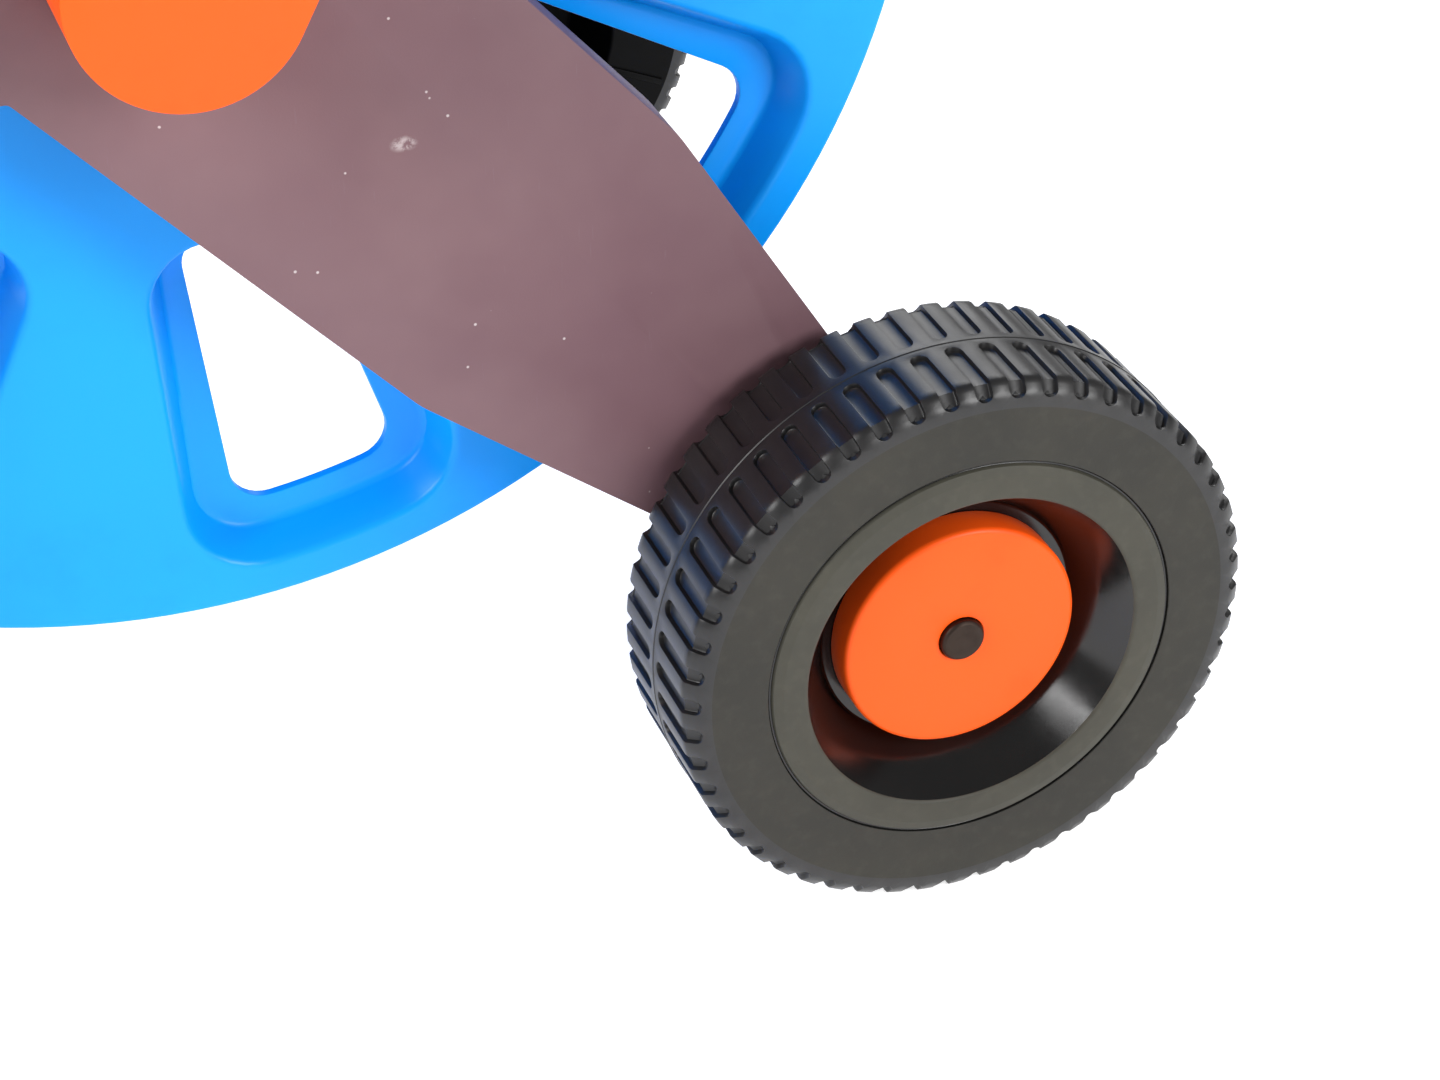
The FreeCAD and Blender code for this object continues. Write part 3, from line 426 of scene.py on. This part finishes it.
# a function from distance along a profile to its point and outward normal
def profileWalk(points):
    lengths = [0.0]
    for first, second in zip(points, points[1:]):
        lengths.append(lengths[-1] + (second - first).length)

    def at(distance):
        n = max(i for i in range(len(points) - 1) if lengths[i] <= distance + 1e-12)
        run = points[n + 1] - points[n]
        spot = points[n] + run * ((distance - lengths[n]) / run.length)
        normal = Vector((run.y, -run.x)).normalized()
        return spot, normal
    return at, lengths[-1]


# one pitch of one tread row: land, rounded slot lip, slot wall and floor, over the shoulder
def treadTile(radius, half, side, middleY):
    user = wheelUser
    count = user["slots"]
    pitch = 2 * math.pi * radius / count
    width, depth = user["slotWidth"] / 2, user["slotDepth"]
    # profile in (radius, distance from the mid plane), from the seam out to the sidewall
    drop, run = user["shoulder"]
    outline = roundedProfile([(radius, 0), (radius, half - run, 0.7 * mm), (radius - drop, half, 0.9 * mm),
                              (radius - user["sidewallEdge"], half)], 4)
    at, total = profileWalk(outline)
    start = 0.35 * mm
    v1, v2 = user["slotStart"], total - user["slotEnd"]
    lineSteps, endSteps = 14, 8

    def slot(grow):  # outline as (u, v), from the right side's inner end
        reach = width + grow
        loop = []
        for n in range(lineSteps):
            loop.append((reach, v1 + width + (v2 - v1 - 2 * width) * n / lineSteps))
        for n in range(endSteps):
            angle = math.pi * n / endSteps
            loop.append((reach * math.cos(angle), v2 - width + reach * math.sin(angle)))
        for n in range(lineSteps):
            loop.append((-reach, v2 - width - (v2 - v1 - 2 * width) * n / lineSteps))
        for n in range(endSteps):
            angle = math.pi * (1 + n / endSteps)
            loop.append((reach * math.cos(angle), v1 + width + reach * math.sin(angle)))
        return loop

    edge = []
    side2 = pitch / 2
    for n in range(lineSteps):
        edge.append((side2, v1 + width + (v2 - v1 - 2 * width) * n / lineSteps))
    low, high = v2 - width, total
    edge += [(side2, low), (side2, (low + high) / 2)]
    edge += [(side2 - pitch * n / 4, high) for n in range(5)]
    edge += [(-side2, (low + high) / 2)]
    for n in range(lineSteps):
        edge.append((-side2, v2 - width - (v2 - v1 - 2 * width) * n / lineSteps))
    high, low = v1 + width, start
    edge += [(-side2, high), (-side2, (low + high) / 2)]
    edge += [(pitch * n / 4 - side2, low) for n in range(5)]
    edge += [(side2, (low + high) / 2)]

    lip = user["edgeRound"]
    spine = [(0.0, min(max(v, v1 + width), v2 - width)) for u, v in slot(0)]
    loops = [(edge, 0.0), (slot(lip), 0.0), (slot(lip * 0.3), lip * 0.3), (slot(0), lip),
             (slot(-0.15 * mm), depth - lip), (slot(-0.45 * mm), depth), (spine, depth)]
    shape = bmesh.new()
    rings = []
    for loop, sink in loops:
        ring = []
        for u, v in loop:
            spot, normal = at(v)
            r, w = spot.x - normal.x * sink, spot.y - normal.y * sink
            angle = u / radius
            ring.append(shape.verts.new((r * math.sin(angle), middleY + side * w, r * math.cos(angle))))
        rings.append(ring)
    size = len(rings[0])
    for first, second in zip(rings, rings[1:]):
        for n in range(size):
            after = (n + 1) % size
            face = [first[n], first[after], second[after], second[n]]
            shape.faces.new(face)
    bmesh.ops.remove_doubles(shape, verts=shape.verts, dist=0.002 * mm)
    return shape


# one low radial rib on the wheel's inboard face, its foot sunk in the face
def ribTile(faceY, direction):
    user, sink = wheelUser, 0.3 * mm
    first, last = user["ribReach"]
    size = Vector((user["ribWidth"], user["ribHeight"] + sink, last - first))
    middle = Vector((0, faceY + direction * (user["ribHeight"] - sink) / 2, (first + last) / 2))
    shape = bmesh.new()
    bmesh.ops.create_cube(shape, size=1.0)
    for vert in shape.verts:
        vert.co = middle + vert.co * size
    bmesh.ops.bevel(shape, geom=shape.edges[:], offset=0.4 * mm, segments=2, affect="EDGES", profile=0.5)
    return shape


def buildWheel(side, node, discNode):
    user = wheelUser
    low, high = corners(node)
    centre = (low + high) / 2
    radius = (high.z - low.z) / 2
    half = (high.y - low.y) / 2 - user["proud"]
    outward = 1 if side == "far" else -1
    count = user["slots"]
    around = count * 4
    phase = math.pi / 2 + math.pi / count
    rows = []
    for row in (-1, 1):
        tile = treadTile(radius, half, row, centre.y)
        rows.append((repeated(tile, f"treadTile_{side}", aroundAxis, count, (centre.x, 0, centre.z),
                              (0, 2 * math.pi / count, 0), treadBlack), 0))
    crest = radius + user["seamHeight"] * 0.8
    seam = [(radius, centre.y - 0.35 * mm), (crest, centre.y - 0.1 * mm), (crest, centre.y + 0.1 * mm),
            (radius, centre.y + 0.35 * mm)]
    rows.append((lathe(seam, centre, around, phase=phase), 0))

    def face(direction, outline):
        path = [(radius - user["sidewallEdge"], centre.y + direction * half)]
        for reach, depth, *corner in outline:
            path.append((reach * mm, centre.y + direction * (half - depth * mm), *(r * mm for r in corner)))
        path = roundedProfile(path, 4)
        kinds = []
        for first, second in zip(path, path[1:]):
            reach = (first[0] + second[0]) / 2
            depth = half - direction * ((first[1] + second[1]) / 2 - centre.y)
            kind = 1 if reach > user["grooveRadius"] else 2 if depth < user["dishDepth"] else 3
            # inboard faces take slot 4, the near-black painted-shade finish
            kinds.append(kind if direction == outward else 4)
        return lathe(path, centre, around, kinds, phase=phase)

    bore = [(user["bore"], centre.y + outward * (half - user["boreDepth"])),
            (user["bore"], centre.y - outward * (half + user["proud"]))]
    rows += [(face(outward, user["outerFace"]), None), (face(-outward, user["innerFace"]), None),
             (lathe(bore, centre, around, [3], phase=phase), None)]
    # the inboard ribs take the same near-black painted-shade finish
    tile = ribTile(centre.y - outward * half, -outward)
    rows.append((repeated(tile, f"ribTile_{side}", aroundAxis, user["ribs"], (centre.x, 0, centre.z),
                          (0, 2 * math.pi / user["ribs"], 0), innerPaintedShadeBlack), 4))
    thing = finishShape(merged(rows), f"wheel_{side}_body",
                        [treadBlack, sidewallGrey, bandGrey, dishBlack, innerPaintedShadeBlack], 38)
    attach(thing, bodyOf[node])
    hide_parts(node)

    # the orange hub disc: softly crowned face, round edge, short skirt
    low, high = corners(discNode)
    disc = (high.x - low.x) / 2 - user["discTrim"]
    front = (high.y if outward > 0 else low.y)
    inside = lambda depth: front - outward * depth
    bore, plate, skirt, wall = user["discBore"], user["discPlate"], user["discSkirt"], user["discWall"]
    path = roundedProfile([(bore, inside(plate)), (bore, inside(0.0), 0.35 * mm),
                           (user["discCrown"], inside(0.0)), (disc, inside(user["discDrop"]), 1.6 * mm),
                           (disc, inside(skirt), 0.4 * mm), (disc - wall, inside(skirt), 0.4 * mm),
                           (disc - wall, inside(plate), 0.8 * mm), (bore, inside(plate))], 6)
    thing = finishShape(lathe(path, centre, 160), f"hub_disc_{side}_body", [orangePlastic], 40)
    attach(thing, bodyOf[discNode])
    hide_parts(discNode)


for side in ("near", "far"):
    buildWheel(side, f"wheel_{side}", f"hub_disc_{side}")
print("wheels made")

# reel flanges, sizes in mm
flangeUser = {
    # inner and outer radius, half angle between the sides, inner and outer corner, side offset (mm)
    "recess": (91, 184, 8.6, 16, 19.5, 10.7), "ledge": (92.5, 178.7, 9.4, 9, 14.5, 4.5),
    "window": (94.5, 171.5, 5.75, 7, 9, 4.8),
    "phase": 11.4, "depth": 11.0, "wall": 3.0, "ringOuter": 189.6, "ringInner": 24.0,
    "rimDepth": 9.0, "rimWall": 3.5, "hubDepth": 25.5, "hubBore": 14.1, "windows": 8,
}
sectorSteps = {"outer": 14, "corner": 8, "side": 12, "inner": 10}


# window outline in the flange's plane (mm): outer arc, side, inner arc and back
def sectorLoop(inner, outer, half, innerCorner, outerCorner, offset):
    slope = math.radians(half)

    def polar(radius, angle):
        return Vector((radius * math.cos(angle), radius * math.sin(angle)))

    def arc(centre, radius, first, last, steps):
        return [centre + polar(radius, first + (last - first) * n / steps) for n in range(steps)]

    def corner(middle, radius):
        reach = math.sqrt(middle ** 2 - (offset - radius) ** 2)
        swing = slope + math.atan2(offset - radius, reach)
        return middle, radius, swing, polar(reach, slope) + polar(offset, slope + math.pi / 2)

    steps, zero, quarter = sectorSteps, Vector((0, 0)), slope + math.pi / 2
    middle, radius, swing, far = corner(outer - outerCorner, outerCorner)
    middle2, radius2, swing2, near = corner(inner + innerCorner, innerCorner)
    flip = lambda point: Vector((point.x, -point.y))
    loop = arc(zero, outer, -swing, swing, steps["outer"])
    loop += arc(polar(middle, swing), radius, swing, quarter, steps["corner"])
    loop += [far.lerp(near, n / steps["side"]) for n in range(steps["side"])]
    loop += arc(polar(middle2, swing2), radius2, quarter, swing2 + math.pi, steps["corner"])
    loop += arc(zero, inner, swing2, -swing2, steps["inner"])
    loop += arc(polar(middle2, -swing2), radius2, math.pi - swing2, 2 * math.pi - quarter, steps["corner"])
    loop += [flip(near).lerp(flip(far), n / steps["side"]) for n in range(steps["side"])]
    loop += arc(polar(middle, -swing), radius, -quarter, -swing, steps["corner"])
    return loop


# the 45 degree wedge round a window, one point for each of the window outline's
def wedgeLoop(inner, outer, half, lip):
    steps, slope = sectorSteps, math.radians(half)
    polar = lambda radius, angle: Vector((radius * math.cos(angle), radius * math.sin(angle)))
    bend, first = steps["corner"] // 2, steps["outer"] + steps["corner"]
    wide, narrow = steps["outer"] + 2 * bend, steps["inner"] + 2 * bend
    straight = [point.length for point in lip[first:first + steps["side"] + 1]]
    reaches = [outer + (straight[0] - outer) * n / bend for n in range(bend)] + straight
    reaches += [straight[-1] + (inner - straight[-1]) * n / bend for n in range(1, bend)]
    ring = [polar(outer, -slope + 2 * slope * n / wide) for n in range(wide)]
    ring += [polar(reach, slope) for reach in reaches]
    ring += [polar(inner, slope - 2 * slope * n / narrow) for n in range(narrow)]
    ring += [polar(reach, -slope) for reach in [inner] + reaches[:0:-1]]
    return ring[bend:] + ring[:bend]


def blended(first, second, share):
    return tuple(a + (b - a) * share for a, b in zip(first, second))


def grownShape(shape, amount):
    inner, outer, half, innerCorner, outerCorner, offset = shape
    return inner - amount, outer + amount, half, innerCorner + amount, outerCorner + amount, offset + amount


def buildFlange(side, node):
    user = flangeUser
    low, high = corners(node)
    centre = (low + high) / 2
    rim = (high.x - low.x) / 2 / mm
    outward = 1 if side == "far" else -1
    face = high.y if outward > 0 else low.y
    recess, ledge, window = user["recess"], user["ledge"], user["window"]
    depth, wall = user["depth"], user["wall"]
    wedge = wedgeLoop(user["ringInner"], user["ringOuter"], 22.5, sectorLoop(*recess))
    # each loop of a window's pocket with its depth: from the face down, through the window, back up outside
    lip = [(grownShape(recess, 2.7), 0.0), (grownShape(recess, 1.9), 0.0), (grownShape(recess, 1.1), 0.12),
           (grownShape(recess, 0.35), 0.55),
           (blended(recess, ledge, 0.06), 1.35), (blended(recess, ledge, 0.5), 5.8),
           (blended(recess, ledge, 0.9), 9.5), (blended(recess, ledge, 1.0), 10.4),
           (grownShape(ledge, -1.0), 10.85), (grownShape(ledge, -2.2), depth),
           (grownShape(window, 0.6), depth), (grownShape(window, 0.15), depth + 0.18),
           (window, depth + 0.6), (window, depth + wall - 0.5), (grownShape(window, 0.5), depth + wall),
           (grownShape(ledge, 1.6), depth + wall), (grownShape(ledge, 2.6), depth + wall - 0.7),
           (grownShape(recess, 2.4), wall + 1.2), (grownShape(recess, 3.2), wall),
           (grownShape(recess, 4.0), wall)]
    loops = [(wedge, 0.0)] + [(sectorLoop(*outline), sink) for outline, sink in lip] + [(wedge, wall)]
    shape = bmesh.new()
    turn = math.radians(user["phase"])
    rings = []
    for loop, sink in loops:
        rings.append([shape.verts.new((
            (p.x * math.cos(turn) - p.y * math.sin(turn)) * mm, face - outward * sink * mm,
            (p.x * math.sin(turn) + p.y * math.cos(turn)) * mm)) for p in loop])
    size = len(wedge)
    for first, second in zip(rings, rings[1:]):
        for n in range(size):
            after = (n + 1) % size
            shape.faces.new([first[n], first[after], second[after], second[n]])
    count = user["windows"]
    whole = repeated(shape, f"flangeTile_{side}", aroundAxis, count, (centre.x, 0, centre.z),
                     (0, 2 * math.pi / count, 0), bluePlastic)
    steps = sectorSteps
    outCount = count * (steps["outer"] + steps["corner"])
    inCount = count * (steps["inner"] + steps["corner"])
    y = lambda sink: face - outward * sink * mm
    ringOuter, ringInner = user["ringOuter"] * mm, user["ringInner"] * mm
    edge, back = (rim - user["rimWall"]) * mm, user["rimDepth"]
    rimPath = roundedProfile([(ringOuter, y(0)), (rim * mm, y(0), 1.1 * mm), (rim * mm, y(back), 1.0 * mm),
                              (edge, y(back), 1.0 * mm), (edge, y(wall), 0.4 * mm), (ringOuter, y(wall))], 5)
    hubBore, hubEnd = user["hubBore"] * mm, y(user["hubDepth"])
    hubPath = [(ringInner, y(wall)), (ringInner, hubEnd), (hubBore, hubEnd), (hubBore, y(0)),
               (ringInner, y(0))]
    start = turn - math.radians(22.5)
    shapes = [(whole, 0), (lathe(rimPath, centre, outCount, phase=start), 0),
              (lathe(hubPath, centre, inCount, phase=start), 0)]
    thing = finishShape(merged(shapes), f"reel_flange_{side}_body", [bluePlastic], 40)
    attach(thing, bodyOf[node])
    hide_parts(node)


for side in ("near", "far"):
    buildFlange(side, f"reel_flange_{side}")
print("flanges made")

# moulded pieces: edge radius in mm and material
softUser = {
    "side_panel_near": (0.9, mauvePanel), "side_panel_far": (0.9, mauvePanel),
    "crank_arm": (1.6, orangePlastic), "crank_grip": (0.6, blackPlastic), "grip_cap": (0.4, orangePlastic),
    "drum_core": (0.5, bluePlastic), "foot_pad_near": (0.8, rubber), "foot_pad_far": (0.8, rubber),
    "handle_collar_near": (0.5, blackPlastic), "handle_collar_far": (0.5, blackPlastic),
    "clamp_knob_near": (0.9, orangePlastic), "clamp_knob_far": (0.9, orangePlastic),
    "inlet_elbow": (0.5, blackPlastic), "drum_elbow": (0.5, blackPlastic),
    "hose_connector": (0.35, orangePlastic), "axle_cap_near": (0.25, capSteel),
    "axle_cap_far": (0.25, capSteel),
}
for node, (edge, material) in softUser.items():
    softened(node, edge * mm, material)
print("moulded pieces rounded")

# CAD pieces that are carried over as they are
finishes = {
    blackPlastic: ["hub_bush_near", "hub_bush_far", "axle_spacer_near", "axle_spacer_far", "crank_shaft",
                   "cross_tube_plug_near", "cross_tube_plug_far", "inlet_shaft"],
    tubePaint: ["axle_tube", "front_cross_tube", "handle_socket_tube_near", "handle_socket_tube_far",
                "handle_bow"],
    zincSteel: ["axle_rod", "cross_tube_screw_near", "cross_tube_screw_far", "socket_screw_near",
                "socket_screw_far", "grip_pin", "clamp_stud_near", "clamp_stud_far", "inlet_clip",
                "flange_screws_near", "flange_screws_far"],
    rubber: ["handle_grip"],
}
for material, nodes in finishes.items():
    for node in nodes:
        mesh = frame["nodes"][node].data
        mesh.materials.clear()
        mesh.materials.append(material)
print("finishes given")

# floor, lights and camera
stageUser = {
    "floor": 30.0, "glow": 0.74, "world": 0.24,
    # softboxes: place, aim, size and power
    "key": ((1.15, -1.75, 1.0), (0.05, 0, 0.25), (0.9, 0.9), 35),
    "fill": ((-1.25, -0.62, 1.05), (0.1, -0.1, 0.15), (0.7, 0.7), 18),
    "rear": ((0.9, 2.1, 1.6), (0.1, 0, 0.2), (2.0, 1.2), 30),
}
floorMesh = bpy.data.meshes.new("floor")
reach = stageUser["floor"] / 2
floorMesh.from_pydata([(-reach, -reach, 0), (reach, -reach, 0), (reach, reach, 0), (-reach, reach, 0)], [],
                      [(0, 1, 2, 3)])
floorMaterial = newMaterial("floorPaper", Base_Color=(0.9, 0.9, 0.9, 1), Roughness=0.9,
                            Specular_IOR_Level=0.1, Emission_Color=(1, 1, 1, 1),
                            Emission_Strength=stageUser["glow"])[0]
addObject("floor", floorMesh, [floorMaterial])

world = bpy.data.worlds.new("softRoom")
world.use_nodes = True
world.node_tree.nodes["Background"].inputs["Color"].default_value = (1, 1, 1, 1)
world.node_tree.nodes["Background"].inputs["Strength"].default_value = stageUser["world"]
bpy.context.scene.world = world


def softbox(name, spot, target, size, power):
    lamp = bpy.data.lights.new(name, "AREA")
    lamp.shape, lamp.size, lamp.size_y = "RECTANGLE", size[0], size[1]
    lamp.energy = power
    thing = bpy.data.objects.new(name, lamp)
    bpy.context.scene.collection.objects.link(thing)
    thing.location = spot
    thing.rotation_euler = (Vector(target) - Vector(spot)).to_track_quat("-Z", "Y").to_euler()


for name in ("key", "fill", "rear"):
    softbox(name, *stageUser[name])
print("stage lit")

cameraUser = {
    "place": (-132.95, -765.2, 529.5), "right": (0.9308, -0.3656, 0.0), "up": (0.2012, 0.5123, 0.8349),
    "back": (-0.3052, -0.7771, 0.5504), "lens": 75.7, "shift": (-0.0115, -0.0021),
}
lensData = bpy.data.cameras.new("camera")
lensData.lens, lensData.sensor_width = cameraUser["lens"], 36.0
lensData.shift_x, lensData.shift_y = cameraUser["shift"]
lensData.clip_start = 0.01
camera = bpy.data.objects.new("camera", lensData)
bpy.context.scene.collection.objects.link(camera)
axes = [Vector(cameraUser[key]).normalized() for key in ("right", "up", "back")]
place = Matrix.Translation(Vector(cameraUser["place"]) * mm)
camera.matrix_world = place @ Matrix(axes).transposed().to_4x4()
bpy.context.scene.camera = camera
bpy.context.scene.view_settings.view_transform = "Standard"
